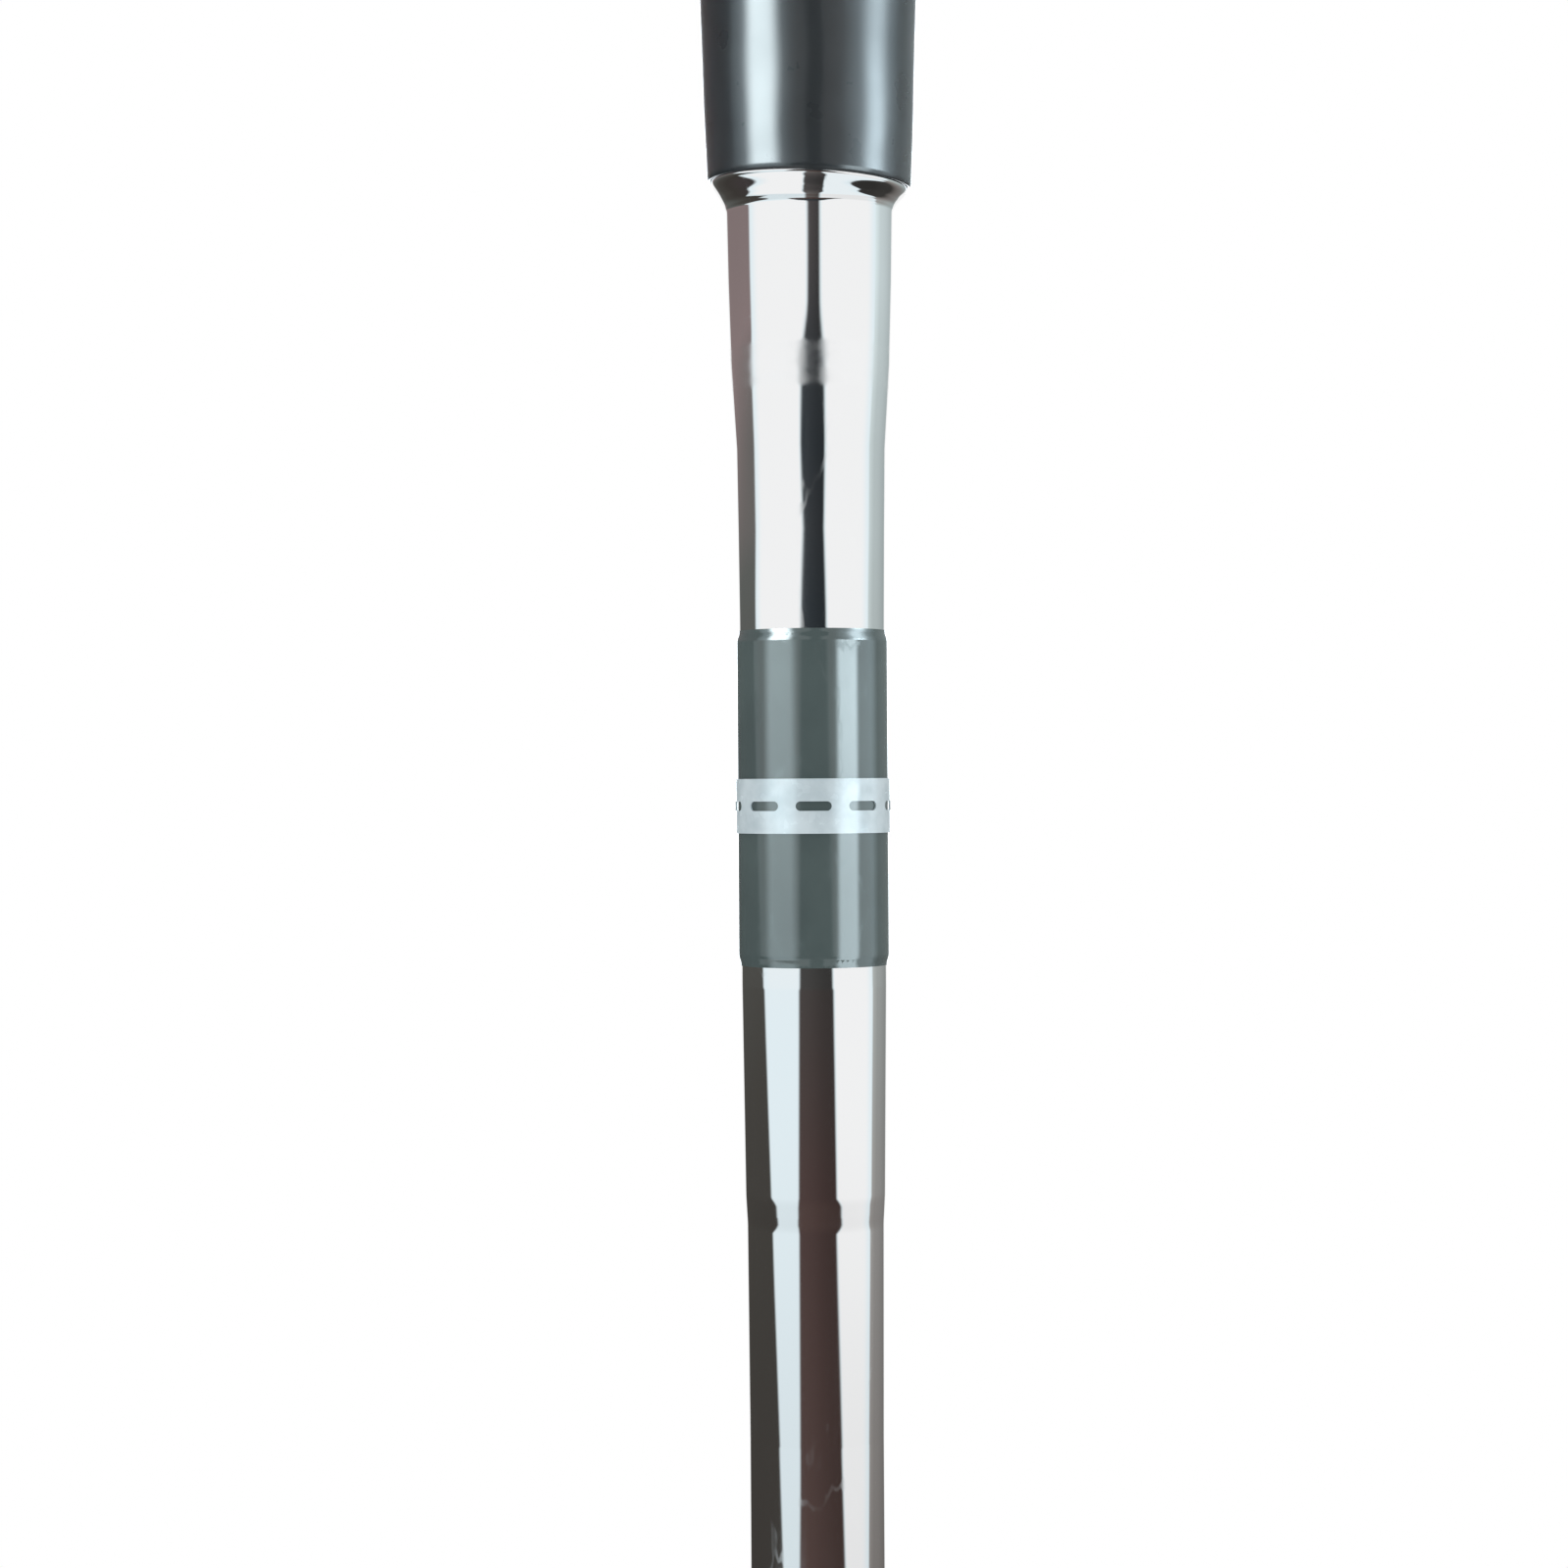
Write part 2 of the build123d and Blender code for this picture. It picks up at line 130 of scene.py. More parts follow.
def turned(name, outline, segments=128, reshape=None):
    """A closed ring turned from a closed outline of (radius, height). reshape may move each point."""
    outline = np.array(outline, float)
    angles = np.arange(segments) * TAU / segments
    radius = np.repeat(outline[:, :1], segments, axis=1)
    height = np.repeat(outline[:, 1:], segments, axis=1)
    angle = np.repeat(angles[None, :], len(outline), axis=0)
    if reshape is not None:
        radius, height = reshape(radius, height, angle)
    points = np.stack([radius * np.cos(angle), radius * np.sin(angle), height], axis=-1)
    uvs = np.stack([angle * radius.mean(), height], axis=-1)
    faces = grid_faces(len(outline), segments, True)
    return add_mesh(name, points.reshape(-1, 3), faces, uvs.reshape(-1, 2))


def radii_and_heights(node):
    """Distance from the axis and height of each of a CAD node's vertices."""
    points = np.array([v.co for v in nodes[node].data.vertices])
    return np.hypot(points[:, 0], points[:, 1]), points[:, 2]


def outward_edges(node):
    """The edges of the faces that look outward, each as two (radius, height) ends, the lower one first."""
    edges = set()
    for face in nodes[node].data.polygons:
        middle = face.center
        away = face.normal.x * middle.x + face.normal.y * middle.y
        if away > OUTWARD_SHARE * math.hypot(middle.x, middle.y):
            edges.update(face.edge_keys)
    ends = np.stack(radii_and_heights(node), axis=-1)[np.array(sorted(edges))]
    falling = ends[:, 0, 1] > ends[:, 1, 1]
    ends[falling] = ends[falling, ::-1]
    return ends


def outer_outline(node, step):
    """The CAD node's outer skin as (radius, height) rows at even heights, read from its outward edges."""
    ends = outward_edges(node)
    r_low, r_high = ends[:, 0, 0], ends[:, 1, 0]
    low, high = ends[:, 0, 1], ends[:, 1, 1]
    rise = np.where(high - low > LEAST_RISE, high - low, 1)
    known = np.unique(np.round(ends[..., 1], 5))
    known = known[np.r_[True, np.diff(known) > LEAST_GAP]]
    outer = []
    for height in known:
        crossed = (low <= height + NEAR_HEIGHT) & (high >= height - NEAR_HEIGHT)
        share = np.clip((height - low[crossed]) / rise[crossed], 0, 1)
        outer.append((r_low[crossed] + share * (r_high - r_low)[crossed]).max())
    straight = np.flatnonzero(np.diff(known) > STRAIGHT_RUN)
    extra = np.r_[known[straight] + CORNER_ROOM, known[straight + 1] - CORNER_ROOM]
    every = np.sort(np.r_[known, extra])
    radius = np.interp(every, known, outer)
    at = np.linspace(every[0], every[-1], int(round((every[-1] - every[0]) / step)) + 1)
    return np.stack([eased(at, every, radius), at], axis=-1)


def eased(at, known, values):
    """Interpolates with a smooth curve through the known points that never overshoots them."""
    gaps = np.diff(known)
    slopes = np.diff(values) / gaps
    before, after = slopes[:-1], slopes[1:]
    same_way = before * after > 0
    harmonic = 2 * before * after / np.where(same_way, before + after, 1)
    tangents = np.r_[slopes[0], np.where(same_way, harmonic, 0), slopes[-1]]
    i = np.clip(np.searchsorted(known, at, side="right") - 1, 0, len(gaps) - 1)
    t = (at - known[i]) / gaps[i]
    return (
        (1 + 2 * t) * (1 - t) ** 2 * values[i] + t * (1 - t) ** 2 * gaps[i] * tangents[i]
        + t * t * (3 - 2 * t) * values[i + 1] + t * t * (t - 1) * gaps[i] * tangents[i + 1]
    )


def eased_below(outline, low, high, reach):
    """Softens the corners between low and high by giving each row the mean radius of the rows above it."""
    spacing = outline[1, 1] - outline[0, 1]
    count = int(round(reach / spacing))
    ahead = [np.r_[outline[k:, 0], np.full(k, outline[-1, 0])] for k in range(count)]
    inside = (outline[:, 1] > low) * (1 - smooth(high - reach, high, outline[:, 1]))
    radius = outline[:, 0] + inside * (np.mean(ahead, axis=0) - outline[:, 0])
    return np.stack([radius, outline[:, 1]], axis=-1)


def thinned(outline, stride):
    """Leaves out rows inside straight runs, but for the two beside each bend and one in every stride."""
    slope = np.diff(outline[:, 0]) / np.diff(outline[:, 1])
    bend = np.r_[1.0, abs(np.diff(slope)) > STRAIGHT_BEND, 1.0]
    kept = np.convolve(bend, (1, 1, 1), "same") > 0
    kept[::stride] = True
    return outline[kept]


def cone_top(outline, low, high):
    """The height between low and high where the outline turns most sharply inward, going down."""
    slope = np.gradient(outline[:, 0], outline[:, 1])
    bend = np.r_[0, slope[:-2] - slope[2:], 0]
    inside = (outline[:, 1] > low) & (outline[:, 1] < high)
    return float(outline[np.argmax(bend * inside), 1])


def smooth(edge_0, edge_1, x):
    """0 below edge_0, 1 above edge_1, and an S-curve between."""
    t = np.clip((x - edge_0) / (edge_1 - edge_0), 0, 1)
    return t * t * (3 - 2 * t)


# ---------------------------------------------------------------- finishes

class Finish:
    """One procedural material: a Principled surface and the nodes that vary it."""

    def __init__(self, name, **sockets):
        self.material = bpy.data.materials.new(name)
        self.material.use_nodes = True
        self.tree = self.material.node_tree
        self.surface = self.tree.nodes["Principled BSDF"]
        for socket, value in sockets.items():
            self.give(self.surface.inputs[socket.replace("_", " ")], value)

    def give(self, socket, value):
        """Links a node's output to the socket, or sets a plain value on it."""
        if isinstance(value, bpy.types.NodeSocket):
            self.tree.links.new(value, socket)
        elif socket.type == "RGBA":
            socket.default_value = (*value, 1)
        else:
            socket.default_value = value

    def add(self, kind, sockets=None, **settings):
        node = self.tree.nodes.new(kind)
        for name, value in settings.items():
            setattr(node, name, value)
        for socket, value in (sockets or {}).items():
            self.give(node.inputs[socket], value)
        return node

    def drive(self, socket, value):
        self.give(self.surface.inputs[socket], value)

    def math(self, operation, a, b=0.0):
        return self.add("ShaderNodeMath", {0: a, 1: b}, operation=operation).outputs[0]

    def place(self, stretch=(1, 1, 1)):
        """Object coordinates in metres, times stretch."""
        coords = self.add("ShaderNodeTexCoord").outputs["Object"]
        return self.add("ShaderNodeMapping", {"Vector": coords, "Scale": stretch}).outputs["Vector"]

    def axes(self):
        """Object x, y and z in metres."""
        return self.add("ShaderNodeSeparateXYZ", {"Vector": self.place()}).outputs

    def noise(self, scale, detail=3.0, stretch=(1, 1, 1)):
        """Noise from 0 to 1, with scale in features per metre."""
        sockets = {"Vector": self.place(stretch), "Scale": scale, "Detail": detail}
        return self.add("ShaderNodeTexNoise", sockets).outputs["Fac"]

    def spread(self, value, low, high, start=0.3, end=0.7):
        """value from start to end becomes low to high, with soft ends."""
        sockets = {"Value": value, "From Min": start, "From Max": end, "To Min": low, "To Max": high}
        return self.add("ShaderNodeMapRange", sockets, interpolation_type="SMOOTHSTEP").outputs["Result"]

    def band(self, value, middle, half, soft):
        """1 where value is within half of middle, fading to 0 over soft."""
        away = self.math("ABSOLUTE", self.math("SUBTRACT", value, middle))
        return self.spread(away, 1.0, 0.0, half, half + soft)

    def mix(self, factor, a, b):
        """Colour a where factor is 0, b where it is 1."""
        return self.add("ShaderNodeMix", {0: factor, 6: a, 7: b}, data_type="RGBA").outputs[2]

    def bump(self, height, depth, below=None):
        """A bump of that depth in metres, on top of an earlier one."""
        node = self.add("ShaderNodeBump", {"Height": height, "Strength": 1.0, "Distance": depth})
        if below is not None:
            self.give(node.inputs["Normal"], below)
        return node.outputs["Normal"]

    def round_cells(self, size):
        """Distance from the middle of hexagonal cells wrapped round the cane, 0 to about 0.5 of a cell."""
        x, y, z = self.axes()
        squares = self.math("ADD", self.math("MULTIPLY", x, x), self.math("MULTIPLY", y, y))
        radius = self.math("SQRT", squares)
        around = self.math("MULTIPLY", self.math("ARCTAN2", y, x), radius)
        u = self.math("DIVIDE", around, size)
        v = self.math("DIVIDE", z, size * math.sqrt(3))
        away = []
        for shift in (0.0, 0.5):
            parts = []
            for value, pitch in ((u, 1.0), (v, math.sqrt(3))):
                part = self.math("FRACT", self.math("ADD", value, 100 + shift))
                off = self.math("ABSOLUTE", self.math("SUBTRACT", part, 0.5))
                parts.append(self.math("MULTIPLY", off, pitch))
            across = self.math("MULTIPLY", parts[0], 0.5)
            along = self.math("MULTIPLY", parts[1], math.sqrt(0.75))
            away.append(self.math("MAXIMUM", parts[0], self.math("ADD", across, along)))
        return self.math("MINIMUM", *away)


def plated_steel(swage_height):
    """Mirror plating: lengthwise polishing, hairline rubs, and a duller ring where the step was swaged."""
    f = Finish("plated_steel", Base_Color=(0.925, 0.93, 0.935), Metallic=1.0)
    height = f.axes()["Z"]
    polish = f.noise(900, 2, (1, 1, 0.02))
    rough = f.spread(polish, 0.025, 0.06)
    swaged = f.band(height, swage_height - 3.0 * MM, 1.7 * MM, 0.8 * MM)
    ring = f.math("MULTIPLY", swaged, f.noise(400, 2, (1, 1, 2)))
    rough = f.math("ADD", rough, f.math("MULTIPLY", ring, 0.22))
    rubs = f.band(f.noise(55, 5, (1, 1, 0.35)), 0.5, 0.002, 0.004)
    f.drive("Roughness", f.math("ADD", rough, f.math("MULTIPLY", rubs, 0.06)))
    wave = f.bump(f.noise(70, 1, (1, 1, 0.8)), 0.00001)
    f.drive("Normal", f.bump(polish, 0.0000005, wave))
    return f.material


def grip_rubber(low):
    """Dark moulded rubber: glossy at the mouth, chalkier and finely pitted where the hand holds it."""
    f = Finish("grip_rubber", Specular_IOR_Level=0.15, Coat_Roughness=0.13, Coat_IOR=1.45)
    up = f.math("SUBTRACT", f.axes()["Z"], low)
    held = f.spread(up, 0.0, 1.0, 0.022, 0.034)
    tone = f.spread(f.noise(60, 4), 0, 1)
    f.drive("Base Color", f.mix(tone, (0.018, 0.022, 0.025), (0.030, 0.034, 0.037)))
    smooth_part = f.spread(f.noise(300, 3), 0.27, 0.35)
    f.drive("Roughness", f.math("ADD", smooth_part, f.math("MULTIPLY", held, 0.2)))
    f.drive("Coat Weight", f.math("SUBTRACT", 0.55, f.math("MULTIPLY", held, 0.47)))
    pits = f.math("MULTIPLY", f.noise(3200, 2), held)
    f.drive("Normal", f.bump(pits, 0.00006))
    return f.material


def moulded(name, colour, roughness, grain=1500, depth=0.00002, metallic=0.0, vary=0.25):
    """A moulded or machined surface whose tone and sheen drift a little, with a fine grain."""
    f = Finish(name, Metallic=metallic)
    darker = tuple(c * (1 - vary) for c in colour)
    f.drive("Base Color", f.mix(f.spread(f.noise(140, 3), 0, 1), darker, colour))
    f.drive("Roughness", f.spread(f.noise(300, 3), roughness * 0.85, roughness * 1.15))
    f.drive("Normal", f.bump(f.noise(grain, 2), depth))
    return f.material


def shrink_sleeve():
    """Smooth grey heat-shrink tube with a faint ripple and a few dull rubs."""
    f = Finish("marker_grey", Specular_IOR_Level=0.5)
    tone = f.spread(f.noise(120, 3), 0, 1)
    f.drive("Base Color", f.mix(tone, (0.070, 0.094, 0.095), (0.082, 0.110, 0.110)))
    rubs = f.band(f.noise(160, 4, (1, 1, 0.5)), 0.5, 0.003, 0.01)
    sheen = f.spread(f.noise(700, 2), 0.07, 0.11)
    f.drive("Roughness", f.math("ADD", sheen, f.math("MULTIPLY", rubs, 0.08)))
    f.drive("Normal", f.bump(f.noise(160, 1, (1, 1, 0.3)), 0.00001))
    return f.material


def marker_band():
    """Pale satin band, a little uneven and rubbed."""
    f = Finish("marker_pale", Specular_IOR_Level=0.5)
    tone = f.spread(f.noise(420, 4), 0, 1)
    f.drive("Base Color", f.mix(tone, (0.46, 0.55, 0.59), (0.58, 0.67, 0.71)))
    f.drive("Roughness", f.spread(f.noise(600, 2), 0.16, 0.28))
    f.drive("Normal", f.bump(f.noise(900, 2), 0.00001))
    return f.material


def reflective_film(name, colour, line):
    """Retroreflective film: honeycomb cells under a glossy face, with one lap seam down the back."""
    f = Finish(name, Coat_Weight=0.5, Coat_Roughness=0.08, Specular_IOR_Level=0.5)
    cells = f.round_cells(0.0042)
    walls = f.spread(cells, 0.0, 1.0, 0.44, 0.49)
    axes = f.axes()
    seam = f.band(f.math("ARCTAN2", axes["X"], axes["Y"]), 0.0, 0.02, 0.03)
    scuffs = f.band(f.noise(90, 5, (1, 1, 0.2)), 0.5, 0.004, 0.012)
    facets = f.mix(f.spread(f.noise(2400, 1), 0, 1), tuple(c * 0.86 for c in colour), colour)
    lined = f.mix(f.math("MULTIPLY", walls, 0.85), facets, line)
    worn = f.mix(f.math("MULTIPLY", scuffs, 0.25), lined, (0.25, 0.24, 0.22))
    f.drive("Base Color", f.mix(f.math("MULTIPLY", seam, 0.6), worn, tuple(c * 0.4 for c in line)))
    f.drive("Roughness", f.spread(f.noise(500, 2), 0.28, 0.42))
    f.drive("Normal", f.bump(f.math("SUBTRACT", 1.0, walls), 0.00003, f.bump(seam, 0.00008)))
    return f.material


def roller_nylon():
    """Natural nylon, ground grey and scored round the part that runs on the pavement."""
    f = Finish("roller_nylon", Subsurface_Weight=0.08, Subsurface_Scale=0.002, Specular_IOR_Level=0.45)
    low = f.spread(f.axes()["Z"], 1.0, 0.0, 0.001, 0.016)
    scores = f.noise(260, 6, (0.35, 0.35, 6))
    dirt = f.math("MULTIPLY", low, f.spread(scores, 0.1, 1.0, 0.35, 0.62))
    smudge = f.math("MULTIPLY", f.spread(f.noise(70, 5), 0, 1, 0.45, 0.75), 0.25)
    clean = f.mix(f.spread(f.noise(200, 3), 0, 1), (0.70, 0.69, 0.64), (0.80, 0.79, 0.745))
    f.drive("Base Color", f.mix(f.math("MAXIMUM", dirt, smudge), clean, (0.17, 0.155, 0.135)))
    f.drive("Roughness", f.math("ADD", 0.38, f.math("MULTIPLY", dirt, 0.35)))
    deep = f.bump(f.math("MULTIPLY", scores, low), 0.0003)
    f.drive("Normal", f.bump(f.noise(1400, 2), 0.00002, deep))
    return f.material


def drawn_alloy():
    """Anodised tube with fine drawing lines along it."""
    f = Finish("section_alloy", Metallic=1.0)
    lines = f.noise(2600, 3, (1, 1, 0.01))
    f.drive("Base Color", f.mix(f.spread(lines, 0, 1), (0.62, 0.63, 0.64), (0.76, 0.77, 0.78)))
    f.drive("Roughness", f.spread(lines, 0.24, 0.38))
    f.drive("Normal", f.bump(lines, 0.000004))
    return f.material


def cloth_tape():
    """Double-sided tape with a woven backing."""
    f = Finish("adhesive_tape", Roughness=0.75)
    x, y, z = f.axes()
    warp = f.math("SINE", f.math("MULTIPLY", f.math("ARCTAN2", y, x), 90.0))
    weft = f.math("SINE", f.math("MULTIPLY", z, 9000.0))
    threads = f.math("MULTIPLY", weft, warp)
    f.drive("Base Color", f.mix(f.spread(threads, 0, 1, -1, 1), (0.5, 0.46, 0.36), (0.72, 0.68, 0.56)))
    f.drive("Normal", f.bump(threads, 0.00003))
    return f.material


def foam(name, colour):
    """Closed-cell foam."""
    f = Finish(name, Roughness=0.9)
    sockets = {"Vector": f.place(), "Scale": 1400.0}
    cells = f.add("ShaderNodeTexVoronoi", sockets).outputs["Distance"]
    f.drive("Base Color", f.mix(cells, colour, tuple(c * 1.6 for c in colour)))
    f.drive("Normal", f.bump(cells, 0.0001))
    return f.material


# ---------------------------------------------------------------- studio

def blend_rows(rows, at):
    """Interpolates rows of (height, values...) at the heights asked."""
    table = np.array(rows, float)
    return np.stack([np.interp(at, table[:, 0], table[:, k]) for k in range(1, table.shape[1])], axis=-1)


# Edges of the two light panels as bearings from the camera's side, in degrees, at each height in metres.
# A height below 0 lies on the ground, that far in from the wall.
PANEL_EDGES = [
    (-0.75, -66, -24, 32, 68),
    (-0.45, -82, -13, 24, 80),
    (-0.17, -88, -12, 22, 84),
    (0.00, -90, -11, 21, 88),
    (0.12, -92, -10, 19, 91),
    (0.285, -95, -8, 16, 96),
    (0.45, -97, -6, 14, 104),
    (0.60, -98, -6, 14, 106),
    (0.62, -60, -32, 48, 96),
    (0.666, -66, -29, 43, 99),
    (0.74, -76, -28, 35, 103),
    (0.835, -86, -24, 30, 106),
    (0.984, -101, -17, 22, 99),
    (1.045, -92, -4, 14, 104),
    (1.097, -92, -3, 14, 104),
    (1.35, -90, -3, 14, 104),
    (1.80, -70, -30, 40, 90),
]
# Tones of the room between the panels, to their left and to their right, at each height
FRONT_TONE = [
    (-0.70, 0.040, 0.038, 0.038),
    (0.00, 0.080, 0.072, 0.070),
    (0.50, 0.110, 0.100, 0.095),
    (0.60, 0.070, 0.045, 0.040),
    (0.75, 0.062, 0.040, 0.037),
    (0.85, 0.050, 0.048, 0.046),
    (0.98, 0.027, 0.033, 0.038),
    (1.10, 0.062, 0.056, 0.056),
]
LEFT_TONE = [
    (-0.50, 0.035, 0.032, 0.032),
    (0.30, 0.050, 0.042, 0.042),
    (0.60, 0.045, 0.040, 0.036),
    (0.80, 0.060, 0.056, 0.050),
    (1.00, 0.110, 0.115, 0.108),
    (1.06, 0.245, 0.190, 0.188),
    (1.50, 0.120, 0.100, 0.100),
]
RIGHT_TONE = [
    (0.00, 0.030, 0.029, 0.027),
    (0.45, 0.045, 0.043, 0.040),
    (0.60, 0.180, 0.165, 0.155),
    (0.75, 0.270, 0.260, 0.250),
    (0.85, 0.340, 0.360, 0.350),
    (1.00, 0.460, 0.520, 0.520),
    (1.10, 0.580, 0.660, 0.670),
]
PANEL_CORE = (0.94, 0.94, 0.94)
PANEL_FRINGE = (0.80, 0.90, 0.94)
LEFT_CORE_LOW = 0.80  # below this height the left panel is all fringe
BACK_PANEL = 158  # bearing where the light panel behind the cane starts, on both sides


# Degrees either side of an edge over which it fades
PANEL_SOFT = 2.5
BETWEEN_SOFT = 3
SIDE_SOFT = 8
BACK_FADE = 0.30  # how much the right-hand tone loses towards the back
NEAR_GAIN = 0.25  # how much it gains beside its panel
PANEL_DIP = 0.12  # how much the panels lose between the heights of their foot and their upper part
PANEL_FOOT = (0.45, 0.54)  # below this they are as bright as on the ground
PANEL_UPPER = (0.62, 0.80)


def room_light(bearing, height, edges):
    """What the wall gives beside and between the two panels."""
    front, left, right = (blend_rows(t, height) for t in (FRONT_TONE, LEFT_TONE, RIGHT_TONE))
    left_end, right_start, right_end = edges[:, 1], edges[:, 2], edges[:, 3]
    side = smooth(-SIDE_SOFT, SIDE_SOFT, bearing - (left_end + right_start) / 2)[:, None]
    fade = (1 - BACK_FADE * smooth(112, 165, bearing))[:, None]
    near_panel = 1 + NEAR_GAIN * (1 - smooth(0, 14, bearing - right_end))[:, None]
    outer = left * (1 - side) + right * fade * near_panel * side
    between = smooth(left_end - BETWEEN_SOFT, left_end + BETWEEN_SOFT, bearing)
    between = between * (1 - smooth(right_start - BETWEEN_SOFT, right_start + BETWEEN_SOFT, bearing))
    lean = 1.25 - 0.5 * smooth(left_end, right_start, bearing)
    return outer * (1 - between[:, None]) + front * (between * lean)[:, None]


def wall_light(bearing, height):
    """The light that each point of the studio wall gives."""
    edges = blend_rows(PANEL_EDGES, height)
    tone = room_light(bearing, height, edges)
    grounded = 1 - smooth(*PANEL_FOOT, height)
    full = np.maximum(smooth(*PANEL_UPPER, height), grounded)
    strength = (1 - PANEL_DIP + PANEL_DIP * full)[:, None]
    cores = (np.maximum(smooth(LEFT_CORE_LOW, 0.95, height), grounded), 1 - 0.6 * grounded)
    for k, soft_low, soft_high in ((0, 16, 4), (1, 4, 18)):
        low, high = edges[:, 2 * k], edges[:, 2 * k + 1]
        lit = smooth(-PANEL_SOFT, PANEL_SOFT, bearing - low)
        lit = lit * smooth(-PANEL_SOFT, PANEL_SOFT, high - bearing)
        core = smooth(0, soft_low, bearing - low) * smooth(0, soft_high, high - bearing) * cores[k]
        panel = np.array(PANEL_FRINGE) * (1 - core[:, None]) + np.array(PANEL_CORE) * core[:, None]
        tone = tone * (1 - lit[:, None]) + panel * strength * lit[:, None]
    back = smooth(BACK_PANEL - 1, BACK_PANEL + 3, abs(bearing))[:, None]
    return tone * (1 - back) + np.array(PANEL_CORE) * back


# Bright lamp cores that only the less shiny pieces show: bearings from and to, their softness, heights from
# and to, their softness, and the light
GLOSS_CORES = [
    (-68, -36, 8, 1.03, 1.60, 0.02, (24.5, 28.0, 29.0)),
    (-82, -30, 16, 1.03, 1.60, 0.02, (2.0, 2.6, 2.9)),
    (66, 86, 8, 1.03, 1.13, 0.02, (8.0, 10.0, 11.0)),
    (64, 88, 11, 1.03, 1.60, 0.02, (9.0, 11.0, 12.0)),
    (46, 102, 14, 1.03, 1.60, 0.02, (2.0, 2.6, 2.9)),
    (-74, -28, 9, 0.40, 1.01, 0.015, (3.9, 4.8, 5.1)),
    (38, 71, 5, 0.40, 1.01, 0.015, (9.6, 11.6, 12.4)),
    (36, 108, 10, 0.40, 1.01, 0.015, (1.5, 1.9, 2.1)),
    (165, 195, 8, 0.30, 1.60, 0.05, (6.0, 6.6, 7.0)),
    (-195, -165, 8, 0.30, 1.60, 0.05, (6.0, 6.6, 7.0)),
]


def core_light(bearing, height):
    """The extra light of the lamp cores."""
    total = np.zeros((len(bearing), 3))
    for first, last, soft, low, high, soft_height, tone in GLOSS_CORES:
        across = smooth(first - soft, first + soft, bearing)
        across = across * (1 - smooth(last - soft, last + soft, bearing))
        up = smooth(low - soft_height, low + soft_height, height)
        up *= 1 - smooth(high - soft_height, high + soft_height, height)
        total += (across * up)[:, None] * np.array(tone)
    weaker = 0.62 + 0.38 * smooth(0.88, 0.97, height)
    return total * weaker[:, None]


def light_material(name, attribute, see_through):
    """Emission taken from a colour attribute, with what lies behind showing through if asked."""
    material = bpy.data.materials.new(name)
    material.use_nodes = True
    material.cycles.emission_sampling = "NONE"
    tree = material.node_tree
    tree.nodes.clear()
    source = tree.nodes.new("ShaderNodeAttribute")
    source.attribute_name = attribute
    light = tree.nodes.new("ShaderNodeEmission")
    tree.links.new(source.outputs["Color"], light.inputs["Color"])
    out = tree.nodes.new("ShaderNodeOutputMaterial")
    result = light.outputs[0]
    if see_through:
        both = tree.nodes.new("ShaderNodeAddShader")
        clear = tree.nodes.new("ShaderNodeBsdfTransparent")
        tree.links.new(result, both.inputs[0])
        tree.links.new(clear.outputs[0], both.inputs[1])
        result = both.outputs[0]
    tree.links.new(result, out.inputs["Surface"])
    return material


def light_wall(name, radius, light_at, see_through):
    """A round wall and the ground inside it, giving light by bearing and height, that only reflections see.
    A smaller radius lifts the ground by as much, so that two walls never share a plane."""
    columns, rows = 720, 316
    bearing = np.linspace(-180, 180, columns, endpoint=False)
    height = np.linspace(-GROUND_REACH, WALL_TOP, rows)
    b, h = (grid.ravel() for grid in np.meshgrid(bearing, height))
    angle = np.radians(b - 90)
    reach = radius * (1 + np.minimum(h, 0))
    ground = WALL_RADIUS - radius
    points = np.stack([reach * np.cos(angle), reach * np.sin(angle), np.maximum(h, ground)], axis=-1)
    wall = add_mesh(name, points, grid_faces(rows, columns))
    layer = wall.data.color_attributes.new("light", "FLOAT_COLOR", "POINT")
    layer.data.foreach_set("color", np.c_[light_at(b, h), np.ones(len(b))].ravel())
    wall.data.materials.append(light_material(name, "light", see_through))
    wall.visible_camera = False
    wall.visible_diffuse = False
    wall.visible_transmission = False
    wall.visible_shadow = False
    return wall


def studio_floor():
    """A pale floor that melts into the white background towards its rim."""
    sides = 96
    turns = np.arange(sides) * TAU / sides
    ring = [(FLOOR_RADIUS * math.cos(a), FLOOR_RADIUS * math.sin(a), 0) for a in turns]
    floor = add_mesh("studio_floor", ring, [tuple(range(sides))])
    f = Finish("pale_floor", Base_Color=(0.86, 0.86, 0.855), Roughness=0.8)
    f.drive("Normal", f.bump(f.noise(200, 2), 0.0002))
    away = f.add("ShaderNodeVectorMath", {0: f.place()}, operation="LENGTH").outputs["Value"]
    white = f.add("ShaderNodeEmission")
    blend = f.add("ShaderNodeMixShader", {0: f.spread(away, 0.0, 1.0, 0.6, FLOOR_RADIUS * 0.95)})
    f.tree.links.new(f.surface.outputs[0], blend.inputs[1])
    f.tree.links.new(white.outputs[0], blend.inputs[2])
    f.tree.links.new(blend.outputs[0], f.tree.nodes["Material Output"].inputs["Surface"])
    floor.data.materials.append(f.material)
    floor.visible_glossy = False


